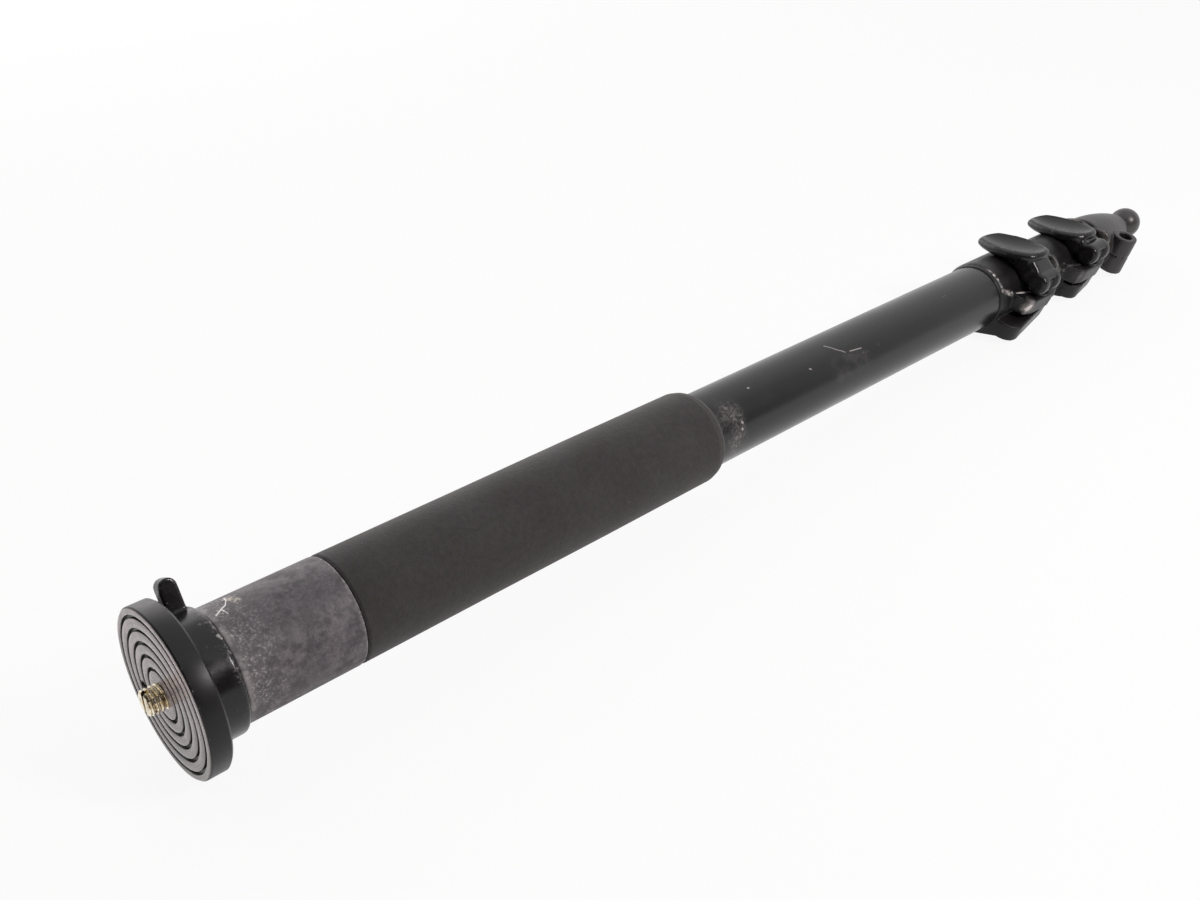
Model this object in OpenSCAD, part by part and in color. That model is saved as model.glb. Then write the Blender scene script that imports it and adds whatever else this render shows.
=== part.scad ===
// Camera monopod of three telescoping tubes with two lever locks, lying on its side.
// The tube axis is X. The camera plate faces -X at x = 0 and the ball foot ends at +X.
// +Z is up. The lock lugs and the foot boss lie towards -Y and are rolled a little below level.

/* [Camera plate] */
// Diameter of the camera plate
plate_d = 62; // [52:1:80]
// Thickness of the camera plate
plate_t = 8; // [6:0.1:12]
// Number of ring grooves in the plate face
groove_count = 5; // [2:1:5]
// Distance from one ring groove to the next
groove_pitch = 4.6; // [3.6:0.1:4.8]
// Width of a ring groove
groove_w = 1.4; // [0.8:0.1:2]
// Length of the camera screw that stands out of the plate
stud_out = 6.2; // [4.5:0.1:8]

/* [Strap ring] */
// Outer diameter of the turning ring behind the plate
ring_d = 46.4; // [45:0.1:56]
// Length of the turning ring along the tube
ring_len = 10.8; // [9:0.1:16]
// Height of the tab above the ring
tab_h = 11.9; // [6:0.1:16]
// Angle of the tab above the level of the tube, on the far side
tab_angle = 62; // [0:1:90]

/* [Grip] */
// Outer diameter of the grip
grip_d = 42.4; // [40:0.1:52]
// Length of the rubber sleeve at the head end
sleeve_len = 45.7; // [30:0.1:80]
// Length of the foam grip
foam_len = 185.7; // [100:0.1:260]
// Rounding of the free end of the foam
foam_round = 6; // [4.5:0.1:12]

/* [Tubes] */
// Outer diameter of the upper tube
upper_d = 35; // [32:0.5:38]
// How much thinner in diameter each next tube is
tube_step = 5; // [4.6:0.1:5.4]
// Wall thickness of the tubes
tube_wall = 1.4; // [1:0.1:1.6]
// Length of the upper tube
upper_len = 487; // [400:1:600]

/* [Locks] */
// Length of a lock casting along the tube
lock_len = 58; // [54:0.5:70]
// Half height of the two lugs together
lug_h = 11; // [9:0.1:14]
// Width of the slot between the lugs
slot_w = 2.4; // [1.6:0.1:3.2]
// Roll of the lugs and levers below level, towards -Y
roll = 20; // [0:1:30]
// Reach of the upper lock's bolt beyond the tube wall
upper_reach = 3.2; // [3:0.1:6]
// Reach of the lower lock's bolt beyond the tube wall
lower_reach = 3.2; // [3:0.1:6]
// Length of the oval lever paddle
paddle_len = 38; // [34:0.1:42]
// Width of the oval lever paddle along the tube
paddle_w = 24.6; // [20:0.1:27]

/* [Foot] */
// Length of the foot casting along the tube
foot_len = 44; // [40:0.1:60]
// Radius of the ball foot
ball_r = 9.3; // [7.5:0.1:10]
// Roll of the side boss below level, towards -Y
foot_roll = 15; // [0:1:30]
// Diameter of the side boss of the foot casting
boss_d = 14; // [12.5:0.1:17]

/* [Hidden] */
$fn = 64;
eps = 0.02;
// How far a cutting body runs past what it cuts
over = 1;
far_out = 60;
run_gap = 0.05;
free_gap = 0.3;
// Small edge chamfer of castings and rings
edge = 0.6;

upper_r = upper_d / 2;
middle_r = upper_r - tube_step / 2;
lower_r = middle_r - tube_step / 2;
upper_ir = upper_r - tube_wall;
middle_ir = middle_r - tube_wall;
lower_ir = lower_r - tube_wall;

upper_lug_y = -(upper_r + upper_reach);
lower_lug_y = -(middle_r + lower_reach);

// Stations along the tube axis
upper_end = plate_t + upper_len;
sleeve_in_lock = 20;
lock_gap = 2;
foot_gap = 1.5;
lower_in_foot = 26.5;
ball_out = 15.7;
upper_lock_x = upper_end - sleeve_in_lock;
lower_lock_x = upper_lock_x + lock_len + lock_gap;
middle_end = lower_lock_x + sleeve_in_lock;
foot_x = lower_lock_x + lock_len + foot_gap;
foot_end = foot_x + foot_len;
lower_end = foot_x + lower_in_foot;
ball_x = foot_end + ball_out;
ring_x = plate_t + free_gap;
grip_x = ring_x + ring_len + free_gap;
foam_x = grip_x + sleeve_len;
foam_end = foam_x + foam_len;

// Camera screw, three eighths of an inch outside and a quarter of an inch inside
stud_r = 9.525 / 2;
stud_pitch = 25.4 / 16;
stud_depth = 0.6;
stud_in_r = stud_r - 0.3;
stud_small_r = 6.35 / 2;
stud_small_len = 8.3;
stud_tip = 0.5;
stud_first = 0.9;
thread_half = 0.42;
nut_t = 5;
nut_af = 14.3;
pocket_gap = 0.2;
stud_collar_x = plate_t + nut_t + pocket_gap;
stud_in = stud_collar_x + stud_small_len;
stud_slot_w = 1.6;
stud_slot_h = 2;

// Plate face
groove_depth = 1.2;
plate_rim = 3.2;
groove_out_r = plate_d / 2 - plate_rim;
plate_bevel = 0.7;
plate_round = 0.8;
key_hole_r = 1.7;
key_hole_depth = 4;
key_hole_pos_r = groove_out_r - 2.5 * groove_pitch;
key_hole_angle = -19;

// Head plug and its rivets
plug_len = 22;
plug_bore_r = 6.2;
rivet_x = plate_t + 17;
rivet_r = 2;
rivet_depth = 4;

// Guide bushes at the heads of the inner tubes
guide_len = 14;
guide_gap = 0.08;
middle_x = plate_t + plug_len + 4;
lower_x = middle_x + 38;
guide_lip = 2;

// Locks
liner_t = 1.3;
liner_shift = 0.4;
liner_back = 2;
liner_len = lock_len - sleeve_in_lock - liner_shift - liner_back;
thin_over = 0.7;
shell_over = 1.4;
shell_front = 2.8;
shell_back = 5.5;
flange_over = 2.5;
flange_edge = 0.4;
tail_len = 6;
tail_drop = 1.6;
sweep_from = 12.8;
sweep_angle = 72;
lug_r = 6;
lug_at = 30;
lug_front = 19;
lug_back = 21;
nose_cut = 4.5;
toe_lean = 1;
toe_in = 2;
heel_cut = 4;
heel_mid = 3;
heel_out = 1;
nose_gap = 3;
slot_from = 2;
upper_low_front = 2;
lower_low_front = 17;
upper_low_out = 3.4;
lower_low_out = 0.5;
low_corner = 9;
chin_out = 1.5;
chin_in = 8;
bolt_r = 2.5;
bolt_hole_r = 2.7;
eye_r = 4.4;
eye_w = 6;
pin_r = 2;
pin_len = 14;
saddle_t = 1.3;
saddle_r = 5.4;
knuckle_r = 5.4;
knuckle_w = 16.4;
saddle_gap = 0.1;
fork_over = 4.2;
pivot_h = lug_h + saddle_t + saddle_gap + knuckle_r;
lock_nut_af = 8;
lock_nut_t = 4;
wall_t = 3;
wall_reach = 17;
wall_corner = 4.6;
wall_slope = 2.5;
wall_lean = 0.8;
wall_foot = 4.5;
wall_top = pivot_h + 4.2;
nut_sink = 0.4;

// Lever paddle, an oval with a round belly and a shallow dish in its top
paddle_tilt = 21.5;
belly = 4.4;
paddle_lip = 10;
paddle_tip = 7;
paddle_at = 1.5;
paddle_turn = 9;
upper_rise = 5.1;
lower_rise = 3.3;
upper_back = 4;
lower_back = 1;
dish_depth = 2;
dish_rim = 1.2;
lever_clear = 0.5;
web_w = 15.6;
web_near = 4.5;
web_far = 8.4;
web_under = 0.8;

// Foot
foot_r0 = lower_r + 3.8;
foot_r1 = 9.3;
foot_shank_r = 5.6;
foot_shank_in = 9;
foot_stem_r = 2.5;
foot_stem_in = 15;
boss_at = 19;
boss_reach = lower_r + 4.9;
boss_h = 11.6;
boss_screw_r = 2.5;
boss_head_r = 3.9;
foot_slot_w = 0.8;
foot_slot_past = 3;
boss_head_depth = 9;
boss_key_af = 4;
foot_nut_af = 8;
foot_nut_t = 4;

// A round bar along the tube axis
module bar(x0, x1, r) {
    translate([x0, 0, 0])
        rotate([0, 90, 0])
            cylinder(h = x1 - x0, r = r);
}

// A round hollow bar along the tube axis
module pipe(x0, x1, ro, ri) {
    difference() {
        bar(x0, x1, ro);
        bar(x0 - 1, x1 + 1, ri);
    }
}

// Turns a profile of (radius, station) points about the tube axis
module turned() {
    rotate([0, 90, 0])
        rotate_extrude()
            children();
}

// A drawing in (y, z) made solid along the tube axis, centred on station x
module along_x(x, w) {
    translate([x - w / 2, 0, 0])
        rotate([90, 0, 90])
            linear_extrude(height = w)
                children();
}

// The round plate with ring grooves, the screw hole and one small key hole
module camera_plate() {
    r = plate_d / 2;
    color("dimgray")
        difference() {
            turned()
                polygon([[0, 0], [r - plate_bevel, 0], [r, plate_bevel],
                    [r, plate_t - plate_round], [r - plate_round, plate_t], [0, plate_t]]);
            bar(-over, plate_t + over, stud_in_r);
            for (i = [0 : groove_count - 1])
                pipe(-1, groove_depth, groove_out_r - i * groove_pitch + groove_w / 2,
                    groove_out_r - i * groove_pitch - groove_w / 2);
            rotate([key_hole_angle, 0, 0])
                translate([0, key_hole_pos_r, 0])
                    bar(-1, key_hole_depth, key_hole_r);
        }
}

// One ring groove of the screw thread
module thread_ring(x) {
    turned()
        polygon([[stud_r - stud_depth, x - stud_pitch * 0.1],
            [stud_r - stud_depth, x + stud_pitch * 0.1],
            [stud_r + eps, x + stud_pitch * thread_half],
            [stud_r + eps, x - stud_pitch * thread_half]]);
}

// The reversible camera screw: large thread outside, small thread inside, slotted end
module camera_stud() {
    rings = floor((stud_out - stud_tip - stud_first) / stud_pitch - thread_half);
    color("tan")
        difference() {
            union() {
                turned()
                    polygon([[0, -stud_out], [stud_r - stud_tip, -stud_out], [stud_r, stud_tip - stud_out],
                        [stud_r, 0], [stud_in_r, 0], [stud_in_r, stud_collar_x], [0, stud_collar_x]]);
                bar(stud_collar_x - eps, stud_in, stud_small_r);
            }
            for (i = [0 : rings])
                thread_ring(-stud_first - i * stud_pitch);
            translate([-stud_out - 1, -stud_slot_w / 2, -stud_r - 1])
                cube([stud_slot_h + 1, stud_slot_w, 2 * stud_r + 2]);
        }
}

// The thin nut that locks the camera screw behind the plate
module stud_nut() {
    color("silver")
        difference() {
            translate([plate_t, 0, 0])
                rotate([0, 90, 0])
                    cylinder(h = nut_t, d = nut_af / cos(30), $fn = 6);
            bar(plate_t - over, plate_t + nut_t + over, stud_in_r);
        }
}

// The plug that carries the plate in the head of the upper tube
module head_plug() {
    color("gray")
        difference() {
            bar(plate_t, plate_t + plug_len, upper_ir);
            bar(plate_t - 1, plate_t + plug_len + 1, plug_bore_r);
            translate([plate_t - over, 0, 0])
                rotate([0, 90, 0])
                    cylinder(h = nut_t + pocket_gap + over, d = (nut_af + pocket_gap) / cos(30), $fn = 6);
            rivet_holes();
        }
}

module rivet_holes() {
    for (side = [-1, 1])
        translate([rivet_x, 0, side * (upper_r - rivet_depth)])
            rotate([side > 0 ? 0 : 180, 0, 0])
                cylinder(h = rivet_depth + 2, r = rivet_r);
}

// Two flush rivets that hold the plug in the tube
module head_rivets() {
    color("silver")
        intersection() {
            rivet_holes();
            bar(rivet_x - 2 * rivet_r, rivet_x + 2 * rivet_r, upper_r);
        }
}

// The ring that turns on the tube behind the plate, with one solid tab
module strap_ring() {
    r = ring_d / 2;
    ring_back = 1;
    tab_w = 6.4;
    tab_t = 6;
    tab_r = tab_w / 2;
    tab_x = ring_x + ring_len / 2;
    color("#222222")
        difference() {
            union() {
                turned()
                    polygon([[upper_r - 1, ring_x], [r - edge, ring_x], [r, ring_x + edge],
                        [r, ring_x + ring_len - ring_back], [r - ring_back, ring_x + ring_len],
                        [upper_r - 1, ring_x + ring_len]]);
                rotate([tab_angle - 90, 0, 0])
                    translate([tab_x, tab_t / 2, 0])
                        rotate([90, 0, 0])
                            linear_extrude(height = tab_t) {
                                translate([-tab_w / 2, upper_r])
                                    square([tab_w, r + tab_h - tab_r - upper_r]);
                                translate([0, r + tab_h - tab_r])
                                    circle(r = tab_r);
                            }
            }
            bar(ring_x - 1, ring_x + ring_len + 1, upper_r + run_gap);
        }
}

// The rubber sleeve at the head end of the grip
module grip_sleeve() {
    r = grip_d / 2;
    color("#6b6868")
        turned()
            polygon([[upper_r, grip_x], [r - 0.8, grip_x], [r, grip_x + 0.8],
                [r, foam_x - 0.4], [r - 0.4, foam_x], [upper_r, foam_x]]);
}

// The foam grip with its rounded free end
module foam_grip() {
    r = grip_d / 2;
    color("#403c3a")
        difference() {
            turned() {
                difference() {
                    union() {
                        translate([0, foam_x])
                            square([r, foam_len - foam_round]);
                        translate([0, foam_x])
                            square([r - foam_round, foam_len]);
                        translate([r - foam_round, foam_end - foam_round])
                            circle(r = foam_round);
                    }
                    translate([r - 0.4, foam_x])
                        rotate(-45)
                            square([2, 1.2]);
                }
            }
            bar(foam_x - 1, foam_end + 1, upper_r);
        }
}

// The three tubes
module upper_tube() {
    color("#1c1c1e")
        difference() {
            pipe(plate_t, upper_end, upper_r, upper_ir);
            rivet_holes();
        }
}

module middle_tube() {
    color("#29292c")
        pipe(middle_x, middle_end, middle_r, middle_ir);
}

module lower_tube() {
    color("#29292c")
        pipe(lower_x, lower_end, lower_r, lower_ir);
}

// A slide bush round the head of an inner tube, with a lip over the tube end
module guide(x, r_tube, r_outer) {
    pipe(x, x + guide_len, r_outer - guide_gap, r_tube);
    pipe(x - guide_lip, x, r_outer - guide_gap, r_tube - tube_wall);
}

module middle_guide() {
    color("ivory")
        guide(middle_x, middle_r, upper_ir);
}

module lower_guide() {
    color("ivory")
        guide(lower_x, lower_r, middle_ir);
}

// A lock casting: a sleeve over the end of the fixed tube and a split clamp with two lugs
module lock_body(x, r_fix, r_run, reach, low_front, low_out) {
    shell = r_fix + shell_over;
    thin = r_fix + thin_over;
    lug_y = -(r_fix + reach);
    lug_x = x + lug_at;
    shell_x = x + shell_front;
    shell_end = x + lock_len - shell_back;
    flange = shell + flange_over;
    difference() {
        union() {
            turned()
                polygon([[r_run, x], [thin - edge, x], [thin, x + edge], [thin, x + lock_len - tail_len],
                    [thin - tail_drop, x + lock_len], [r_run, x + lock_len]]);
            difference() {
                turned()
                    polygon([[r_run, shell_x], [shell - edge, shell_x], [shell, shell_x + edge],
                        [shell, shell_end - wall_t], [flange, shell_end - wall_t],
                        [flange, shell_end - flange_edge], [flange - flange_edge, shell_end],
                        [r_run, shell_end]]);
                swept_front(shell_x);
            }
            linear_extrude(height = lug_h)
                upper_lug_plan(lug_x, lug_y);
            along_x(shell_end - wall_t / 2, wall_t - edge)
                rear_wall(shell, lug_y);
            translate([0, 0, -lug_h])
                linear_extrude(height = lug_h)
                    lower_lug_plan(x + low_front, lug_x, lug_y, lug_y - lug_r - low_out);
            along_x((x + low_front + lug_x + lug_back) / 2, lug_x + lug_back - x - low_front)
                chin(shell, lug_y);
        }
        bar(x - 1, x + sleeve_in_lock + eps, r_fix);
        bar(x + 1, x + lock_len + 1, r_run + liner_t);
        translate([x + sleeve_in_lock + slot_from, -far_out, -slot_w / 2])
            cube([lock_len, far_out, slot_w]);
        translate([x - over, -far_out - thin, -nose_gap / 2])
            cube([sleeve_in_lock + slot_from + over + eps, far_out, nose_gap]);
        translate([lug_x, lug_y, -lug_h - over])
            cylinder(h = 2 * (lug_h + over), r = bolt_hole_r);
        translate([lug_x, lug_y, -far_out])
            cylinder(h = far_out - lug_h + lock_nut_t + nut_sink, d = (lock_nut_af + pocket_gap) / cos(30),
                $fn = 6);
    }
}

// Sweeps the front of the raised shell back towards the lugs
module swept_front(x) {
    translate([x, -sweep_from, 0])
        rotate([0, 0, sweep_angle])
            translate([-2 * far_out, -2 * far_out, -far_out])
                cube([2 * far_out, 2 * far_out, 2 * far_out]);
}

module upper_lug_plan(x, y) {
    flat = 1.5 * lug_r;
    toe_x = x - lug_front;
    heel_x = x + lug_back;
    polygon([[toe_x, -lug_r], [toe_x + toe_lean, y + toe_in], [toe_x + nose_cut, y - nose_cut],
        [x - flat, y - lug_r], [x + flat, y - lug_r], [heel_x - heel_cut, y - heel_mid],
        [heel_x, y - heel_out], [heel_x, -lug_r]]);
}

// The upright wall behind the lever, from the crown of the casting down to the upper lug
module rear_wall(shell, lug_y) {
    polygon([[0, slot_w / 2], [0, shell + over], [wall_corner - wall_reach, wall_top],
        [-wall_reach, wall_top - wall_slope], [-wall_reach - wall_lean, lug_h + wall_foot],
        [lug_y - heel_out, lug_h - edge], [lug_y - heel_mid, slot_w / 2]]);
}

module lower_lug_plan(front, x, y, out) {
    translate([front + low_corner, out + low_corner])
        circle(r = low_corner);
    heel_x = x + lug_back;
    polygon([[front, -lug_r], [front, out + low_corner], [front + low_corner, out],
        [heel_x - heel_cut, y - heel_mid], [heel_x, y - heel_out], [heel_x, -lug_r]]);
}

// The sloping underside from the lower lug to the bottom of the casting
module chin(shell, lug_y) {
    polygon([[lug_y - chin_out, -lug_h], [-chin_in, -shell], [0, -shell], [0, -lug_h / 2], [lug_y, -lug_h / 2]]);
}

// The split plastic liner that the lock squeezes on the running tube
module lock_liner(x, r_run) {
    x0 = x + sleeve_in_lock + liner_shift;
    difference() {
        pipe(x0, x0 + liner_len, r_run + liner_t, r_run + run_gap);
        translate([x0 - over, -far_out, -slot_w / 2])
            cube([liner_len + 2 * over, far_out, slot_w]);
    }
}

// The eye bolt that pulls the lugs together
module lock_bolt(x, lug_y) {
    translate([x + lug_at, lug_y, 0])
        difference() {
            union() {
                translate([0, 0, nut_sink - lug_h])
                    cylinder(h = lug_h + pivot_h - nut_sink, r = bolt_r);
                translate([0, 0, pivot_h])
                    bar(-eye_w / 2, eye_w / 2, eye_r);
            }
            translate([0, 0, pivot_h])
                bar(-eye_w, eye_w, pin_r);
        }
}

module lock_pin(x, lug_y) {
    translate([x + lug_at, lug_y, pivot_h])
        bar(-pin_len / 2, pin_len / 2, pin_r);
}

// The hex nut in its pocket under the lower lug
module lock_nut(x, lug_y) {
    translate([x + lug_at, lug_y, nut_sink - lug_h])
        difference() {
            cylinder(h = lock_nut_t, d = lock_nut_af / cos(30), $fn = 6);
            translate([0, 0, -1])
                cylinder(h = lock_nut_t + 2, r = bolt_r);
        }
}

// The hard washer that the lever cam turns on
module lock_saddle(x, lug_y) {
    translate([x + lug_at, lug_y, lug_h])
        difference() {
            cylinder(h = saddle_t, r = saddle_r);
            translate([0, 0, -1])
                cylinder(h = saddle_t + 2, r = bolt_hole_r);
        }
}

// A long round body whose flank is a shallow lens of the given length, width and depth
module lens(len, wid, depth) {
    mid = (wid * wid / 4 + depth * depth) / (2 * depth);
    arc = (len * len / 4 + depth * depth) / (2 * depth);
    translate([0, 0, mid - depth])
        rotate([90, 0, 90])
            rotate_extrude()
                intersection() {
                    translate([mid - arc, 0])
                        circle(r = arc, $fn = 360);
                    translate([0, -len])
                        square([mid + 1, 2 * len]);
                }
}

// The oval outline of the paddle
module paddle_plan() {
    drop = paddle_w / 2 - paddle_tip;
    side = (paddle_len * paddle_len / 4 + drop * drop) / (2 * drop);
    intersection() {
        circle(d = paddle_len, $fn = 180);
        translate([0, side - paddle_w / 2])
            circle(r = side, $fn = 180);
        translate([0, paddle_w / 2 - side])
            circle(r = side, $fn = 180);
    }
}

// The oval paddle with a round belly, in its own plane with the top at zero
module paddle() {
    intersection() {
        translate([0, 0, -2 * belly])
            linear_extrude(height = 2 * belly)
                paddle_plan();
        lens(paddle_len + 2 * paddle_lip, paddle_w + 2 * paddle_lip, belly);
    }
}

// The cam lever: a forked knuckle on the pin, a web and the dished oval paddle over the tube
module lock_lever(x, r_fix, reach, rise, back) {
    lug_y = -(r_fix + reach);
    lug_x = x + lug_at;
    shell = r_fix + shell_over;
    top = shell + rise;
    fork_w = eye_w + 2 * free_gap;
    difference() {
        union() {
            on_paddle(lug_x + paddle_at, top, back)
                paddle();
            along_x(lug_x, web_w)
                lever_web(lug_y, top, back);
            translate([lug_x, lug_y, pivot_h])
                bar(-knuckle_w / 2, knuckle_w / 2, knuckle_r);
        }
        bar(x - over, x + lock_len + over, shell + lever_clear);
        translate([lug_x - fork_w / 2, lug_y - 2 * knuckle_r, pivot_h - 2 * knuckle_r])
            cube([fork_w, 2 * knuckle_r + eye_r, 2 * knuckle_r + fork_over]);
        translate([lug_x, lug_y, pivot_h]) {
            bar(-fork_w / 2, fork_w / 2, eye_r + free_gap);
            bar(-knuckle_w, knuckle_w, pin_r + run_gap);
        }
        on_paddle(lug_x + paddle_at, top, back)
            lens(paddle_len - 2 * dish_rim, paddle_w - 2 * dish_rim, dish_depth);
    }
}

// Puts a drawing of the paddle in its place over the tube, with the top of the rim at a height
module on_paddle(x, top, back) {
    rotate([-paddle_tilt, 0, 0])
        translate([x, -back, top])
            rotate([0, 0, 90 - paddle_turn])
                children();
}

// Side drawing of the lever web in (y, z), from the knuckle up to the paddle
module lever_web(lug_y, top, back) {
    low = top - web_under;
    s = sin(paddle_tilt);
    c = cos(paddle_tilt);
    near = web_near - back - paddle_len / 2;
    far = web_far - back;
    polygon([[lug_y - 0.97 * knuckle_r, pivot_h + 0.26 * knuckle_r],
        [near * c + low * s, low * c - near * s],
        [far * c + low * s, low * c - far * s],
        [0, 0.5 * top],
        [lug_y + 0.9 * knuckle_r, pivot_h - 0.43 * knuckle_r],
        [lug_y, pivot_h]]);
}

module rolled() {
    rotate([roll, 0, 0])
        children();
}

module foot_rolled() {
    rotate([foot_roll, 0, 0])
        children();
}

module upper_lock_body() {
    color("#2f2f31")
        rolled()
            lock_body(upper_lock_x, upper_r, middle_r, upper_reach, upper_low_front,
                upper_low_out);
}

module upper_lock_liner() {
    color("ivory")
        rolled()
            lock_liner(upper_lock_x, middle_r);
}

module upper_lock_bolt() {
    color("silver")
        rolled()
            lock_bolt(upper_lock_x, upper_lug_y);
}

module upper_lock_pin() {
    color("silver")
        rolled()
            lock_pin(upper_lock_x, upper_lug_y);
}

module upper_lock_nut() {
    color("silver")
        rolled()
            lock_nut(upper_lock_x, upper_lug_y);
}

module upper_lock_saddle() {
    color("silver")
        rolled()
            lock_saddle(upper_lock_x, upper_lug_y);
}

module upper_lock_lever() {
    color("#1f1f21")
        rolled()
            lock_lever(upper_lock_x, upper_r, upper_reach, upper_rise, upper_back);
}

module lower_lock_body() {
    color("#2f2f31")
        rolled()
            lock_body(lower_lock_x, middle_r, lower_r, lower_reach, lower_low_front,
                lower_low_out);
}

module lower_lock_liner() {
    color("ivory")
        rolled()
            lock_liner(lower_lock_x, lower_r);
}

module lower_lock_bolt() {
    color("silver")
        rolled()
            lock_bolt(lower_lock_x, lower_lug_y);
}

module lower_lock_pin() {
    color("silver")
        rolled()
            lock_pin(lower_lock_x, lower_lug_y);
}

module lower_lock_nut() {
    color("silver")
        rolled()
            lock_nut(lower_lock_x, lower_lug_y);
}

module lower_lock_saddle() {
    color("silver")
        rolled()
            lock_saddle(lower_lock_x, lower_lug_y);
}

module lower_lock_lever() {
    color("#1f1f21")
        rolled()
            lock_lever(lower_lock_x, middle_r, lower_reach, lower_rise, lower_back);
}

// The tapered foot casting, split at a side boss and clamped on the lower tube
module foot_casting() {
    drop = foot_r0 - foot_r1;
    arc = (foot_len * foot_len + drop * drop) / (2 * drop);
    color("#3a3735")
        foot_rolled()
            difference() {
                union() {
                    turned()
                        difference() {
                            intersection() {
                                translate([foot_r0 - arc, foot_x])
                                    circle(r = arc, $fn = 720);
                                translate([0, foot_x])
                                    square([foot_r0, foot_len]);
                            }
                            translate([foot_r0 - 0.6, foot_x])
                                rotate(-45)
                                    square([2, 1]);
                        }
                    translate([foot_x + boss_at, -boss_reach, -boss_h])
                        cylinder(h = 2 * boss_h, r = boss_d / 2);
                }
                bar(foot_x - 1, lower_end + eps, lower_r);
                bar(foot_end - foot_shank_in, foot_end + 1, foot_shank_r);
                bar(foot_end - foot_stem_in, foot_end, foot_stem_r);
                translate([foot_x - over, -far_out, -foot_slot_w / 2])
                    cube([boss_at + boss_d / 2 + foot_slot_past, far_out, foot_slot_w]);
                translate([foot_x + boss_at, -boss_reach, -boss_h - over])
                    cylinder(h = 2 * (boss_h + over), r = boss_screw_r);
                translate([foot_x + boss_at, -boss_reach, boss_h - boss_head_depth])
                    cylinder(h = boss_head_depth + 1, r = boss_head_r);
                translate([foot_x + boss_at, -boss_reach, -boss_h - over])
                    cylinder(h = foot_nut_t + nut_sink + over, d = (foot_nut_af + pocket_gap) / cos(30),
                        $fn = 6);
            }
}

// The socket screw down in the boss
module foot_screw() {
    head_t = 4;
    color("silver")
        foot_rolled()
            translate([foot_x + boss_at, -boss_reach, 0])
                difference() {
                    union() {
                        translate([0, 0, nut_sink - boss_h])
                            cylinder(h = 2 * boss_h - boss_head_depth - nut_sink, r = boss_screw_r);
                        translate([0, 0, boss_h - boss_head_depth])
                            cylinder(h = head_t, r = boss_head_r - 0.1);
                    }
                    translate([0, 0, boss_h - boss_head_depth + 1.6])
                        cylinder(h = head_t, d = boss_key_af / cos(30), $fn = 6);
                }
}

module foot_nut() {
    color("silver")
        foot_rolled()
            translate([foot_x + boss_at, -boss_reach, nut_sink - boss_h])
                difference() {
                    cylinder(h = foot_nut_t, d = foot_nut_af / cos(30), $fn = 6);
                    translate([0, 0, -1])
                        cylinder(h = foot_nut_t + 2, r = boss_screw_r);
                }
}

// The rubber ball with a short shank that plugs into the casting
module ball_foot() {
    color("#1a1a1a")
        difference() {
            union() {
                translate([ball_x, 0, 0])
                    sphere(r = ball_r);
                bar(foot_end - foot_shank_in, ball_x, foot_shank_r);
            }
            bar(foot_end - foot_shank_in - 1, ball_x, foot_stem_r);
        }
}

// The steel stem that holds the ball in the casting
module foot_stem() {
    color("silver")
        bar(foot_end - foot_stem_in, ball_x, foot_stem_r);
}

camera_plate();
camera_stud();
stud_nut();
head_plug();
head_rivets();
strap_ring();
grip_sleeve();
foam_grip();
upper_tube();
upper_lock_body();
upper_lock_liner();
upper_lock_bolt();
upper_lock_pin();
upper_lock_nut();
upper_lock_saddle();
upper_lock_lever();
middle_tube();
middle_guide();
lower_lock_body();
lower_lock_liner();
lower_lock_bolt();
lower_lock_pin();
lower_lock_nut();
lower_lock_saddle();
lower_lock_lever();
lower_tube();
lower_guide();
foot_casting();
foot_screw();
foot_nut();
ball_foot();
foot_stem();
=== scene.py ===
import math

import bpy
from mathutils import Matrix, Vector


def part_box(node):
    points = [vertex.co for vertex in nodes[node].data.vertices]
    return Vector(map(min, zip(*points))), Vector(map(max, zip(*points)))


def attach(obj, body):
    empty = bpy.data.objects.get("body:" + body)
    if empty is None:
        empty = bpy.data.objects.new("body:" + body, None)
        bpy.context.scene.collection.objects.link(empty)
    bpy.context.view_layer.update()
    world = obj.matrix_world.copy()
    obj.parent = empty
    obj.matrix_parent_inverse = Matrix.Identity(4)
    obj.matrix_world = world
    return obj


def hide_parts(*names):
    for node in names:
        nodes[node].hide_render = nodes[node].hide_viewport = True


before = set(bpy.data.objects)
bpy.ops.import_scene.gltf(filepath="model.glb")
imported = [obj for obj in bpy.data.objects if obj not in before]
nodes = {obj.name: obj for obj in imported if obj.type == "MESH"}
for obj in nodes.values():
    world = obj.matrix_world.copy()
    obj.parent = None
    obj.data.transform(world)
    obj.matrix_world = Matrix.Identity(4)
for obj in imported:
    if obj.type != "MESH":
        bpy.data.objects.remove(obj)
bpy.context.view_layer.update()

# The three tubes: drawn aluminium, black anodised, one sliding in the next.
# Only the upper one shows when they are pushed together.
# It is dusty behind the grip and finely scratched along its length.
FOAM_END = 0.2508
DUST_BEGINS = (FOAM_END + 0.002, FOAM_END + 0.008)
DUST_ENDS = (FOAM_END + 0.018, FOAM_END + 0.011)
DUST_SIDE = (-0.006, -0.012)
HAZE = ((0.336, -0.0150, 0.0090), (0.352, -0.0155, 0.0081), 0.0085)
SCRATCHES = (
    ((0.33637, -0.00403, 0.01703), (0.34030, -0.00832, 0.01539), 0.00042),
    ((0.34030, -0.00832, 0.01539), (0.34421, -0.01089, 0.01370), 0.00032),
    ((0.34757, -0.01138, 0.01330), (0.35542, -0.01214, 0.01260), 0.00036),
    ((0.31750, -0.01085, 0.01372), (0.31800, -0.01115, 0.01350), 0.00060),
    ((0.27780, -0.00684, 0.01611), (0.27840, -0.00684, 0.01611), 0.00060),
    ((0.26377, -0.01688, 0.00463), (0.26390, -0.01690, 0.00450), 0.00090),
    ((0.26440, -0.01582, 0.00748), (0.26480, -0.01590, 0.00700), 0.00080))
ANODISED_DEEP = (0.0040, 0.0036, 0.0039)
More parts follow.
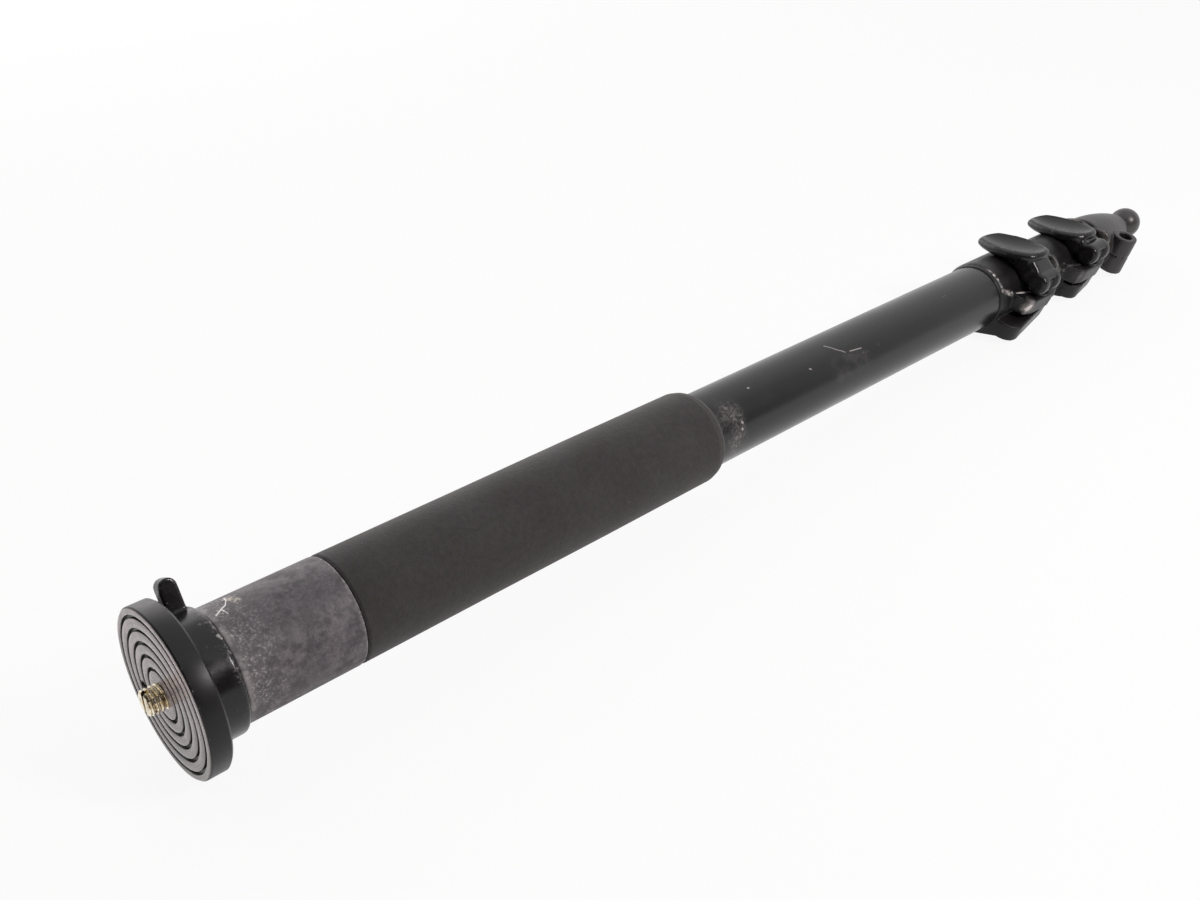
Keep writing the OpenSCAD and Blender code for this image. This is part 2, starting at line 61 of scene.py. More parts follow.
ANODISED_PALE = (0.0075, 0.0068, 0.0071)
TUBE_MARKS = (0.52, 0.49, 0.48)
DRAWN_LINES = (0.04, 1, 1)
HAIR_LINES = (0.02, 1, 1)
SCRATCH_LINES = (0.05, 1, 1)


def finish_start(name):
    finish = bpy.data.materials.new(name)
    finish.use_nodes = True
    shader = finish.node_tree.nodes["Principled BSDF"]
    shader.label = name
    return finish, shader


def place_of(finish, stretch=(1, 1, 1), turn=0.0):
    tree = finish.node_tree
    where = tree.nodes.new("ShaderNodeTexCoord")
    lay = tree.nodes.new("ShaderNodeMapping")
    lay.inputs["Scale"].default_value = stretch
    lay.inputs["Rotation"].default_value = (turn, 0, 0)
    tree.links.new(where.outputs["Object"], lay.inputs["Vector"])
    return lay.outputs["Vector"]


def grain(finish, scale, detail=4.0, rough=0.55, stretch=(1, 1, 1)):
    tree = finish.node_tree
    noise = tree.nodes.new("ShaderNodeTexNoise")
    noise.inputs["Scale"].default_value = scale
    noise.inputs["Detail"].default_value = detail
    noise.inputs["Roughness"].default_value = rough
    tree.links.new(place_of(finish, stretch), noise.inputs["Vector"])
    return noise.outputs["Fac"]


def cells(finish, scale):
    tree = finish.node_tree
    field = tree.nodes.new("ShaderNodeTexVoronoi")
    field.inputs["Scale"].default_value = scale
    tree.links.new(place_of(finish), field.inputs["Vector"])
    return field.outputs["Distance"]


def between(finish, value, low, high, out_low=0.0, out_high=1.0):
    # A soft step of a value, from one share to another
    tree = finish.node_tree
    span = tree.nodes.new("ShaderNodeMapRange")
    span.interpolation_type = "SMOOTHSTEP"
    span.inputs["From Min"].default_value = low
    span.inputs["From Max"].default_value = high
    span.inputs["To Min"].default_value = out_low
    span.inputs["To Max"].default_value = out_high
    tree.links.new(value, span.inputs["Value"])
    return span.outputs["Result"]


def sums(finish, how, first, second=0.0):
    tree = finish.node_tree
    work = tree.nodes.new("ShaderNodeMath")
    work.operation = how
    for socket, value in ((work.inputs[0], first), (work.inputs[1], second)):
        if isinstance(value, (int, float)):
            socket.default_value = value
        else:
            tree.links.new(value, socket)
    return work.outputs["Value"]


def times(finish, share, *others):
    for other in others:
        share = sums(finish, "MULTIPLY", share, other)
    return share


def most_of(finish, share, *others):
    for other in others:
        share = sums(finish, "MAXIMUM", share, other)
    return share


def axis_of(finish, which, turn=0.0):
    tree = finish.node_tree
    split = tree.nodes.new("ShaderNodeSeparateXYZ")
    tree.links.new(place_of(finish, turn=turn), split.inputs["Vector"])
    return split.outputs[which]


def tint(finish, amount, first, second):
    tree = finish.node_tree
    mix = tree.nodes.new("ShaderNodeMix")
    mix.data_type = "RGBA"
    tree.links.new(amount, mix.inputs["Factor"])
    for socket, value in ((mix.inputs["A"], first), (mix.inputs["B"], second)):
        if isinstance(value, tuple):
            socket.default_value = (*value, 1.0)
        else:
            tree.links.new(value, socket)
    return mix.outputs["Result"]


def relief(finish, shader, height, depth, strength):
    tree = finish.node_tree
    bump = tree.nodes.new("ShaderNodeBump")
    bump.inputs["Strength"].default_value = strength
    bump.inputs["Distance"].default_value = depth
    tree.links.new(height, bump.inputs["Height"])
    tree.links.new(bump.outputs["Normal"], shader.inputs["Normal"])


def coat(finish, shader, colour, roughness):
    finish.node_tree.links.new(colour, shader.inputs["Base Color"])
    finish.node_tree.links.new(roughness, shader.inputs["Roughness"])


def vector_work(finish, how, first, second):
    tree = finish.node_tree
    work = tree.nodes.new("ShaderNodeVectorMath")
    work.operation = how
    for socket, value in ((work.inputs[0], first), (work.inputs[1], second)):
        if isinstance(value, (tuple, Vector)):
            socket.default_value = value
        else:
            tree.links.new(value, socket)
    return work


def streak(finish, start, end, width):
    # How near a point is to a line between two places, for one scratch or scuff
    tree = finish.node_tree
    run = Vector(end) - Vector(start)
    from_start = vector_work(finish, "SUBTRACT", place_of(finish), start).outputs["Vector"]
    along = vector_work(finish, "DOT_PRODUCT", from_start, run / run.length_squared)
    held = tree.nodes.new("ShaderNodeClamp")
    tree.links.new(along.outputs["Value"], held.inputs["Value"])
    foot = tree.nodes.new("ShaderNodeVectorMath")
    foot.operation = "SCALE"
    foot.inputs[0].default_value = run
    tree.links.new(held.outputs["Result"], foot.inputs["Scale"])
    away = vector_work(finish, "DISTANCE", from_start, foot.outputs["Vector"])
    return between(finish, away.outputs["Value"], width, width * 0.35)


def dress(piece, finish):
    piece.data.materials.clear()
    piece.data.materials.append(finish)


def anodised(name, used):
    finish, shader = finish_start(name)
    drawn = grain(finish, 60, 3, 0.6, DRAWN_LINES)
    hair = grain(finish, 900, 2, 0.5, HAIR_LINES)
    cloud = grain(finish, 35, 5, 0.6)
    specks = times(finish, between(finish, cells(finish, 260), 0.045, 0.02),
                   between(finish, grain(finish, 42, 2), 0.60, 0.66, 0.0, 0.7))
    scratch = times(finish, between(finish, grain(finish, 420, 1, 0.4, SCRATCH_LINES), 0.73, 0.76),
                    between(finish, cloud, 0.54, 0.62, 0.0, 0.22))
    marks = most_of(finish, specks, scratch)
    if used:
        along = axis_of(finish, "X")
        near_grip = times(finish, between(finish, along, *DUST_ENDS),
                          between(finish, along, *DUST_BEGINS, 0.25, 1.0),
                          between(finish, axis_of(finish, "Y"), *DUST_SIDE, 0.12, 1.0))
        powder = times(finish, between(finish, grain(finish, 650, 5, 0.7), 0.34, 0.74),
                       between(finish, grain(finish, 130, 4, 0.6), 0.36, 0.66, 0.04, 0.42))
        haze = times(finish, streak(finish, *HAZE),
                     between(finish, grain(finish, 110, 4, 0.6), 0.34, 0.68, 0.0, 0.055))
        nicks = most_of(finish, *(streak(finish, *scrape) for scrape in SCRATCHES))
        marks = most_of(finish, marks, times(finish, near_grip, powder), haze,
                        times(finish, nicks, 0.7))
    black = tint(finish, drawn, ANODISED_DEEP, ANODISED_PALE)
    coat(finish, shader, tint(finish, marks, black, TUBE_MARKS),
         sums(finish, "ADD", between(finish, cloud, 0.3, 0.7, 0.21, 0.28),
              times(finish, marks, 0.3)))
    relief(finish, shader, hair, depth=0.00004, strength=0.2)
    shader.inputs["Specular IOR Level"].default_value = 0.46
    return finish


dress(nodes["upper_tube"], anodised("anodised_black", True))
inner_tube_finish = anodised("anodised_black_inner", False)
for tube in ("middle_tube", "lower_tube"):
    dress(nodes[tube], inner_tube_finish)

# The head plug: a bare alloy casting, turned to the bore of the upper tube.
# It is hidden in the head end of the tube, where two rivets hold it.
ALLOY_DULL = (0.40, 0.40, 0.40)
ALLOY_BRIGHT = (0.58, 0.58, 0.57)

alloy_finish, alloy_shader = finish_start("bare_alloy")
pitted = grain(alloy_finish, 700, 6, 0.7)
coat(alloy_finish, alloy_shader, tint(alloy_finish, pitted, ALLOY_DULL, ALLOY_BRIGHT),
     between(alloy_finish, pitted, 0.3, 0.7, 0.4, 0.6))
relief(alloy_finish, alloy_shader, pitted, depth=0.00008, strength=0.5)
alloy_shader.inputs["Metallic"].default_value = 1.0
dress(nodes["head_plug"], alloy_finish)

# The head rivets, the stud's nut and the stem of the ball foot: plated steel.
# They are headed, cut or turned from bar, keep fine tool marks, and are hidden in use.
STEEL_DULL = (0.42, 0.42, 0.43)
STEEL_BRIGHT = (0.60, 0.60, 0.61)
TOOL_MARKS = (1, 0.2, 1)

steel_finish, steel_shader = finish_start("plated_steel")
brushed = grain(steel_finish, 500, 4, 0.6, TOOL_MARKS)
coat(steel_finish, steel_shader, tint(steel_finish, brushed, STEEL_DULL, STEEL_BRIGHT),
     between(steel_finish, grain(steel_finish, 180), 0.3, 0.7, 0.25, 0.42))
relief(steel_finish, steel_shader, brushed, depth=0.00003, strength=0.3)
steel_shader.inputs["Metallic"].default_value = 1.0
for small in ("stud_nut", "head_rivets", "foot_stem"):
    dress(nodes[small], steel_finish)

# The fasteners: an eye bolt, pin, nut and saddle washer in each lock, and the foot's screw and nut.
# They are blackened steel with a dull oxide skin, pushed or screwed through the castings.
OXIDE_DARK = (0.018, 0.017, 0.018)
OXIDE_PALE = (0.060, 0.057, 0.058)

dark_finish, dark_shader = finish_start("blackened_steel")
oxide = grain(dark_finish, 380, 5, 0.65)
coat(dark_finish, dark_shader,
     tint(dark_finish, between(dark_finish, oxide, 0.35, 0.7), OXIDE_DARK, OXIDE_PALE),
     between(dark_finish, oxide, 0.3, 0.7, 0.34, 0.52))
relief(dark_finish, dark_shader, oxide, depth=0.00003, strength=0.4)
dark_shader.inputs["Metallic"].default_value = 0.7
for small in ("foot_screw", "foot_nut"):
    dress(nodes[small], dark_finish)
for lock in ("upper", "lower"):
    for small in ("bolt", "pin", "nut", "saddle"):
        dress(nodes[lock + "_lock_" + small], dark_finish)

# The slide bushes and the split lock liners: pale moulded bearing plastic.
# The bushes are pressed on the heads of the inner tubes, and the liners sit in the lock castings.
PLASTIC_DULL = (0.50, 0.47, 0.40)
PLASTIC_PALE = (0.64, 0.61, 0.54)

bush_finish, bush_shader = finish_start("bearing_plastic")
milk = grain(bush_finish, 90, 5, 0.6)
coat(bush_finish, bush_shader, tint(bush_finish, milk, PLASTIC_DULL, PLASTIC_PALE),
     between(bush_finish, milk, 0.3, 0.7, 0.42, 0.56))
relief(bush_finish, bush_shader, grain(bush_finish, 1500, 2), depth=0.00003, strength=0.3)
for bush in ("middle_guide", "lower_guide", "upper_lock_liner", "lower_lock_liner"):
    dress(nodes[bush], bush_finish)

# The rubber sleeve at the head end of the grip: a moulded grey tube pulled over the aluminium.
# It is blotched and dusty, paler at its edge by the ring and along the seam to the foam.
TUBE_R = 0.0175
GRIP_R = 0.0212
SLEEVE_X = 0.0194
FOAM_X = 0.0651
SLEEVE_FACETS = 144
SEAM = 0.0002
WELD = 0.000002
SLIVER = 0.000004
LOST_FACE_SIDES = 8
RUBBER_DARK = (0.078, 0.069, 0.077)
RUBBER_PALE = (0.150, 0.135, 0.146)
RUBBER_PATCH = (0.040, 0.036, 0.041)
RUBBER_STAIN = (0.034, 0.030, 0.035)
RUBBER_BY_RING = (0.135, 0.126, 0.131)
RUBBER_POWDER = (0.42, 0.40, 0.40)
RUBBED_TAN = (0.62, 0.55, 0.46)
SCUFF_WHITE = (0.86, 0.84, 0.83)
SCUFFS = (
    ((0.02203, -0.00105, 0.02117), (0.02481, 0.00088, 0.02118), 0.00040),
    ((0.02481, 0.00088, 0.02118), (0.02695, 0.00210, 0.02110), 0.00042),
    ((0.02695, 0.00210, 0.02110), (0.02868, 0.00499, 0.02060), 0.00028),
    ((0.02868, 0.00499, 0.02060), (0.02912, 0.00745, 0.01985), 0.00040),
    ((0.02473, 0.00073, 0.02119), (0.02517, -0.00050, 0.02119), 0.00038))
FAINT_SCUFF = ((0.02517, -0.00050, 0.02119), (0.02545, -0.00253, 0.02105), 0.00036)
RUBBED_SPOTS = (
    ((0.02901, 0.00669, 0.02012), (0.03034, 0.00461, 0.02069), 0.0022),
    ((0.03034, 0.00461, 0.02069), (0.03112, 0.00157, 0.02114), 0.0020))


def deselect():
    if bpy.context.object is not None and bpy.context.object.mode != "OBJECT":
        bpy.ops.object.mode_set(mode="OBJECT")
    bpy.ops.object.select_all(action="DESELECT")


def work_on(piece):
    deselect()
    piece.select_set(True)
    bpy.context.view_layer.objects.active = piece


def drawn_line(name, points):
    # A line from one point to the next, radius and station, left open in edit mode
    deselect()
    bpy.ops.mesh.primitive_plane_add(size=0.002, location=(0, 0, 0))
    piece = bpy.context.object
    piece.name = name
    piece.data.name = name
    bpy.ops.object.mode_set(mode="EDIT")
    bpy.ops.mesh.select_all(action="SELECT")
    bpy.ops.mesh.merge(type="CENTER")
    at = Vector((0, 0, 0))
    for count, (radius, station) in enumerate(points):
        goal = Vector((station, radius, 0))
        if count == 0:
            bpy.ops.transform.translate(value=goal - at)
        else:
            bpy.ops.mesh.extrude_region_move(TRANSFORM_OT_translate={"value": goal - at})
        at = goal
    return piece


def turned_piece(name, profile, facets):
    # A drawn line, spun about the tube axis
    piece = drawn_line(name, profile)
    bpy.ops.mesh.select_all(action="SELECT")
    bpy.ops.mesh.spin(steps=facets, angle=2 * math.pi, center=(0, 0, 0), axis=(1, 0, 0))
    bpy.ops.mesh.select_all(action="SELECT")
    bpy.ops.mesh.remove_doubles(threshold=WELD)
    bpy.ops.mesh.normals_make_consistent(inside=False)
    bpy.ops.object.mode_set(mode="OBJECT")
    return piece


def apply_to(piece, kind, **settings):
    work_on(piece)
    step = piece.modifiers.new(kind.lower(), kind)
    for setting, value in settings.items():
        setattr(step, setting, value)
    bpy.ops.object.modifier_apply(modifier=step.name)


def bevelled(piece, width, segments, from_angle):
    apply_to(piece, "BEVEL", width=width, segments=segments, limit_method="ANGLE",
             angle_limit=math.radians(from_angle))


def clear_slivers(piece):
    # The zero-width faces that bevels and cuts leave behind go, and a face lost with them is put back
    work_on(piece)
    bpy.ops.object.mode_set(mode="EDIT")
    bpy.ops.mesh.select_all(action="SELECT")
    bpy.ops.mesh.remove_doubles(threshold=SLIVER)
    bpy.ops.mesh.dissolve_degenerate(threshold=SLIVER)
    bpy.ops.mesh.select_all(action="SELECT")
    bpy.ops.mesh.fill_holes(sides=LOST_FACE_SIDES)
    bpy.ops.object.mode_set(mode="OBJECT")


def smooth_by(piece, degrees):
    work_on(piece)
    bpy.ops.object.shade_smooth_by_angle(angle=math.radians(degrees))


sleeve = turned_piece("rubber_sleeve", [
    (TUBE_R, SLEEVE_X), (GRIP_R - 0.0002, SLEEVE_X), (GRIP_R, SLEEVE_X + 0.0012),
    (GRIP_R, FOAM_X - 0.0010), (GRIP_R - 0.0005, FOAM_X - SEAM), (TUBE_R, FOAM_X - SEAM),
    (TUBE_R, SLEEVE_X)], SLEEVE_FACETS)
bevelled(sleeve, width=0.0006, segments=3, from_angle=25)
clear_slivers(sleeve)
smooth_by(sleeve, 40)
sleeve_finish, sleeve_shader = finish_start("grey_rubber")
blotch = grain(sleeve_finish, 70, 7, 0.7)
patchy = grain(sleeve_finish, 230, 5, 0.65)
fine = grain(sleeve_finish, 1100, 4, 0.65)
sleeve_x = axis_of(sleeve_finish, "X")
by_ring = between(sleeve_finish, sleeve_x, SLEEVE_X + 0.022, SLEEVE_X + 0.001)
front_edge = between(sleeve_finish, sleeve_x, SLEEVE_X + 0.0034, SLEEVE_X + 0.0004)
front_dust = times(sleeve_finish, front_edge, between(sleeve_finish, patchy, 0.38, 0.62, 0.10, 0.62))
seam_edge = between(sleeve_finish, sleeve_x, FOAM_X - 0.0018, FOAM_X - 0.0006)
seam_grain = grain(sleeve_finish, 640, 4, 0.75)
seam_dust = times(sleeve_finish, seam_edge, between(sleeve_finish, seam_grain, 0.46, 0.62, 0.0, 0.62))
powder_share = times(sleeve_finish, between(sleeve_finish, patchy, 0.38, 0.62, 0.15, 1.0),
                     between(sleeve_finish, by_ring, 0.0, 1.0, 0.16, 0.92))
powder_grain = grain(sleeve_finish, 1000, 4, 0.75)
powdery = times(sleeve_finish, between(sleeve_finish, powder_grain, 0.48, 0.63), powder_share)
pale = most_of(sleeve_finish, powdery, front_dust, seam_dust)
scuffs = most_of(sleeve_finish, *(streak(sleeve_finish, *scuff) for scuff in SCUFFS),
                 times(sleeve_finish, streak(sleeve_finish, *FAINT_SCUFF), 0.5))
rubbed_spot = times(sleeve_finish,
                    most_of(sleeve_finish, *(streak(sleeve_finish, *spot) for spot in RUBBED_SPOTS)),
                    between(sleeve_finish, grain(sleeve_finish, 620, 4, 0.7), 0.40, 0.62, 0.0, 0.75))
stain = between(sleeve_finish, grain(sleeve_finish, 130, 4, 0.6), 0.50, 0.62, 0.0, 0.60)
grey = tint(sleeve_finish, between(sleeve_finish, blotch, 0.36, 0.66), RUBBER_DARK, RUBBER_PALE)
grey = tint(sleeve_finish, between(sleeve_finish, patchy, 0.34, 0.56, 0.25, 1.0), RUBBER_PATCH, grey)
grey = tint(sleeve_finish, stain, grey, RUBBER_STAIN)
grey = tint(sleeve_finish, times(sleeve_finish, by_ring, 0.35), grey, RUBBER_BY_RING)
grey = tint(sleeve_finish, pale, grey, RUBBER_POWDER)
grey = tint(sleeve_finish, rubbed_spot, grey, RUBBED_TAN)
coat(sleeve_finish, sleeve_shader, tint(sleeve_finish, scuffs, grey, SCUFF_WHITE),
     between(sleeve_finish, blotch, 0.3, 0.7, 0.50, 0.68))
relief(sleeve_finish, sleeve_shader,
       sums(sleeve_finish, "ADD", fine, times(sleeve_finish, patchy, 0.7)), depth=0.00012, strength=0.5)
dress(sleeve, sleeve_finish)
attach(sleeve, "upper_section")
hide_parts("grip_sleeve")

# The foam grip: a dense closed-cell foam tube stretched over the aluminium, butted to the sleeve.
# Its free end is rounded over, and the skin is matt, with fine cells and a slight lumpiness.
FOAM_FACETS = 120
FOAM_SWELL = 0.00015
FOAM_DARK = (0.0230, 0.0202, 0.0206)
FOAM_PALE = (0.0355, 0.0315, 0.0322)
FOAM_LUMP = (0.046, 0.041, 0.042)
FOAM_LINT = (0.30, 0.285, 0.275)

foam = turned_piece("foam_tube", [
    (TUBE_R, FOAM_X), (GRIP_R - 0.0006, FOAM_X), (GRIP_R, FOAM_X + 0.0010),
    (GRIP_R, FOAM_X + 0.06), (GRIP_R + FOAM_SWELL, FOAM_X + 0.12), (GRIP_R, FOAM_END - 0.0060),
    (GRIP_R - 0.0008, FOAM_END - 0.0028), (GRIP_R - 0.0021, FOAM_END - 0.0008),
    (GRIP_R - 0.0034, FOAM_END), (TUBE_R, FOAM_END), (TUBE_R, FOAM_X)], FOAM_FACETS)
bevelled(foam, width=0.0012, segments=3, from_angle=12)
apply_to(foam, "SUBSURF", levels=1, render_levels=1, subdivision_type="SIMPLE")
clear_slivers(foam)
smooth_by(foam, 40)
foam_finish, foam_shader = finish_start("dense_foam")
pores = cells(foam_finish, 1500)
lumps = grain(foam_finish, 45, 5, 0.6)
soft = grain(foam_finish, 420, 5, 0.7)
foam_x = axis_of(foam_finish, "X")
end_line = times(foam_finish, between(foam_finish, foam_x, FOAM_END - 0.0016, FOAM_END - 0.0006),
                 between(foam_finish, grain(foam_finish, 160, 4, 0.7), 0.35, 0.6, 0.05, 0.22))
lint = times(foam_finish, between(foam_finish, cells(foam_finish, 210), 0.045, 0.02),
             between(foam_finish, lumps, 0.53, 0.6, 0.0, 0.8))
char = tint(foam_finish, between(foam_finish, soft, 0.3, 0.7), FOAM_DARK, FOAM_PALE)
char = tint(foam_finish, between(foam_finish, lumps, 0.35, 0.65, 0.0, 0.14), char, FOAM_LUMP)
coat(foam_finish, foam_shader,
     tint(foam_finish, most_of(foam_finish, end_line, lint), char, FOAM_LINT),
     between(foam_finish, lumps, 0.3, 0.7, 0.78, 0.9))
relief(foam_finish, foam_shader,
       sums(foam_finish, "ADD", pores, times(foam_finish, soft, 0.8)), depth=0.00016, strength=0.6)
foam_shader.inputs["Sheen Weight"].default_value = 0.12
foam_shader.inputs["Sheen Roughness"].default_value = 0.5
dress(foam, foam_finish)
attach(foam, "upper_section")
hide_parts("foam_grip")

# The strap ring: a glossy black moulding that turns on the tube behind the plate.
# One solid tab with a round end stands out of it, and a soft fillet runs round the tab's root.
RING_END = 0.0191
RING_VOXEL = 0.00045
PLUG_FACETS = 128
JET_DEEP = (0.0075, 0.0070, 0.0078)
JET_PALE = (0.0140, 0.0130, 0.0138)
RING_MARKS = (0.34, 0.33, 0.33)
RING_CHIP = ((0.01782, -0.01013, 0.02087), (0.01845, -0.01135, 0.02024), 0.0009)


def round_bar(radius, start, end, side, height, facets):
    # A plain bar along the tube, for a plug or a drill
    deselect()
    bpy.ops.mesh.primitive_cylinder_add(
        vertices=facets, radius=radius, depth=end - start,
        location=((start + end) / 2, side, height), rotation=(0, math.pi / 2, 0))
    return bpy.context.object


def softened(node, name, voxel, passes, plugs=(), swell=0.0):
    # A copy of the machined form, with plugs in its thin bores, cast over with rounded edges
    piece = bpy.data.objects.new(name, nodes[node].data.copy())
    piece.data.name = name
    bpy.context.scene.collection.objects.link(piece)
    for plug in plugs:
        round_bar(*plug, PLUG_FACETS)
        piece.select_set(True)
        bpy.context.view_layer.objects.active = piece
        bpy.ops.object.join()
    work_on(piece)
    bpy.ops.object.mode_set(mode="EDIT")
    bpy.ops.mesh.select_all(action="SELECT")
    bpy.ops.mesh.remove_doubles(threshold=WELD)
    bpy.ops.object.mode_set(mode="OBJECT")
    apply_to(piece, "REMESH", mode="VOXEL", voxel_size=voxel, use_smooth_shade=True)
    apply_to(piece, "SMOOTH", factor=0.5, iterations=passes)
    if swell:
        apply_to(piece, "DISPLACE", strength=swell, mid_level=0.0)
    return piece


ring = softened("strap_ring", "strap_ring_moulding", RING_VOXEL, passes=6)
smooth_by(ring, 40)
ring_finish, ring_shader = finish_start("glossy_black_plastic")
swirl = grain(ring_finish, 120, 5, 0.65)
ring_dust = times(ring_finish, between(ring_finish, grain(ring_finish, 330, 5, 0.7), 0.58, 0.72),
                  between(ring_finish, swirl, 0.46, 0.62, 0.0, 0.45))
ring_speck = between(ring_finish, cells(ring_finish, 240), 0.055, 0.02, 0.0, 0.5)
ring_chip = times(ring_finish, streak(ring_finish, *RING_CHIP),
                  between(ring_finish, grain(ring_finish, 900, 3), 0.40, 0.52))
rear_edge = between(ring_finish, axis_of(ring_finish, "X"), RING_END - 0.0036, RING_END - 0.0006)
rear_dust = times(ring_finish, rear_edge,
                  between(ring_finish, grain(ring_finish, 800, 4, 0.75), 0.50, 0.64, 0.0, 0.5),
                  between(ring_finish, axis_of(ring_finish, "Z"), 0.002, 0.014, 0.1, 1.0))
ring_marks = most_of(ring_finish, ring_dust, ring_speck, ring_chip, rear_dust)
jet = tint(ring_finish, swirl, JET_DEEP, JET_PALE)
coat(ring_finish, ring_shader, tint(ring_finish, ring_marks, jet, RING_MARKS),
     sums(ring_finish, "ADD", between(ring_finish, swirl, 0.3, 0.7, 0.16, 0.30),
          times(ring_finish, ring_marks, 0.4)))
relief(ring_finish, ring_shader, grain(ring_finish, 600, 3), depth=0.00003, strength=0.3)
ring_shader.inputs["Specular IOR Level"].default_value = 0.34
dress(ring, ring_finish)
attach(ring, "ring")
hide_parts("strap_ring")

# The camera plate: a turned alloy disc, painted black, with five ring grooves that grip a camera.
# Use has rubbed the lands of the face grey, and its rim shows the bright metal in small nicks. Part of
# that grey is a painted reflection of the bright room, painted paler towards the top as a painted
# highlight.
PLATE_R = 0.031
PLATE_T = 0.008
PLATE_FACETS = 180
FRONT_EDGE = 0.0007
REAR_EDGE = 0.0008
GROOVES = 5
GROOVE_TOP = 0.0278
GROOVE_STEP = 0.0046
GROOVE_HALF = 0.0007
GROOVE_FLOOR = GROOVE_HALF * 0.8
GROOVE_DEEP = 0.0012
STUD_HOLE_R = 0.0044625
KEY_HOLE = (0.015412, -0.005307)
KEY_HOLE_R = 0.0017
KEY_HOLE_DEEP = 0.004
DRILL_PAST = 0.002
KEY_FACETS = 48
PAINT_DEEP = (0.0065, 0.0060, 0.0066)
PAINT_PALE = (0.0135, 0.0124, 0.0131)
LAND_GREY_AND_REFLECTION = (0.860, 0.780, 0.778)
NICK_METAL = (0.34, 0.32, 0.31)


def combined(piece, tool, how):
    # One solid cut, joined or kept by another, which is then gone
    apply_to(piece, "BOOLEAN", operation=how, object=tool, solver="EXACT")
    bpy.data.objects.remove(tool)


def off_axis(finish, across, height):
    squares = sums(finish, "ADD", times(finish, across, across), times(finish, height, height))
    return sums(finish, "SQRT", squares)


def off_from(finish, value, station):
    return sums(finish, "ABSOLUTE", sums(finish, "SUBTRACT", value, station))


face = [(STUD_HOLE_R, PLATE_T), (STUD_HOLE_R, 0)]
for step in reversed(range(GROOVES)):
    middle = GROOVE_TOP - step * GROOVE_STEP
    face += [(middle - GROOVE_HALF, 0), (middle - GROOVE_FLOOR, GROOVE_DEEP),
             (middle + GROOVE_FLOOR, GROOVE_DEEP), (middle + GROOVE_HALF, 0)]
face += [(PLATE_R - FRONT_EDGE, 0), (PLATE_R, FRONT_EDGE), (PLATE_R, PLATE_T - REAR_EDGE),
         (PLATE_R - REAR_EDGE, PLATE_T), (STUD_HOLE_R, PLATE_T)]
plate = turned_piece("camera_plate_disc", face, PLATE_FACETS)
combined(plate, round_bar(KEY_HOLE_R, -DRILL_PAST, KEY_HOLE_DEEP, *KEY_HOLE, KEY_FACETS), "DIFFERENCE")
bevelled(plate, width=0.00022, segments=2, from_angle=30)
smooth_by(plate, 35)
plate_finish, plate_shader = finish_start("painted_plate")
paint = grain(plate_finish, 420, 5, 0.65)
rub = grain(plate_finish, 85, 6, 0.7)
plate_x = axis_of(plate_finish, "X")
plate_z = axis_of(plate_finish, "Z")
from_axis = off_axis(plate_finish, axis_of(plate_finish, "Y"), plate_z)
lathe = plate_finish.node_tree.nodes.new("ShaderNodeTexNoise")
lathe.noise_dimensions = "1D"
lathe.inputs["Scale"].default_value = 1900
lathe.inputs["Detail"].default_value = 3
plate_finish.node_tree.links.new(from_axis, lathe.inputs["W"])
turning = lathe.outputs["Fac"]
on_face = between(plate_finish, plate_x, 0.00030, 0.00008)
# The lands' grey is partly rubbed paint and partly a painted reflection of the bright room, and it is
# painted paler towards the top as a painted highlight.
rubbed_and_reflection = times(plate_finish, on_face, between(plate_finish, rub, 0.28, 0.70, 0.45, 1.0),
               between(plate_finish, turning, 0.3, 0.7, 0.65, 1.0),
               between(plate_finish, plate_z, -0.022, 0.022, 0.56, 1.0))
nick = times(plate_finish, between(plate_finish, grain(plate_finish, 520, 4, 0.7), 0.60, 0.7),
             between(plate_finish, off_from(plate_finish, plate_x, 0.0004), 0.0008, 0.0002),
             between(plate_finish, from_axis, 0.0295, 0.0302),
             between(plate_finish, rub, 0.45, 0.6))
plate_base = tint(plate_finish, paint, PAINT_DEEP, PAINT_PALE)
plate_base = tint(plate_finish, rubbed_and_reflection, plate_base, LAND_GREY_AND_REFLECTION)
coat(plate_finish, plate_shader, tint(plate_finish, nick, plate_base, NICK_METAL),
     sums(plate_finish, "SUBTRACT", between(plate_finish, rub, 0.3, 0.7, 0.30, 0.40),
          times(plate_finish, on_face, 0.14)))
relief(plate_finish, plate_shader, sums(plate_finish, "ADD", paint, turning), depth=0.00004, strength=0.35)
plate_shader.inputs["Specular IOR Level"].default_value = 0.30
dress(plate, plate_finish)
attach(plate, "upper_section")
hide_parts("camera_plate")

# The camera screw: a reversible stud of plated brass with a coarse thread and a slotted end.
# It screws through the plate and a thin nut holds it from behind.
STUD_R = 0.0047625
STUD_CORE = 0.0041625
STUD_OUT = 0.0062
STUD_FACETS = 96
PITCH = 0.0015875
TURNS = 6
RUN_IN = 1.3
THREAD_FACETS = 64
THREAD_END = 0.0006
TOOTH = ((STUD_CORE, 0.0), (STUD_CORE, 0.12), (STUD_R, 0.44), (STUD_R, 0.68), (STUD_CORE, 1.0))
CORE_R = STUD_CORE + 0.0001
CORE_BACK = 0.0004
NECK_R = STUD_HOLE_R - 0.00002
NECK_END = 0.0132
REAR_R = 0.003175
REAR_TIP_R = 0.0027
REAR_TIP = 0.0211
REAR_END = 0.0215
CHAMFER = 0.0007
CHAMFER_R = STUD_R + 0.00005
CHAMFER_END = 0.0005
SLOT_SIZE = (0.003, 0.0016, 0.014)
SLOT_BACK = 0.0005
BRASS_TARNISH = (0.34, 0.24, 0.12)
BRASS_BRIGHT = (0.93, 0.85, 0.66)

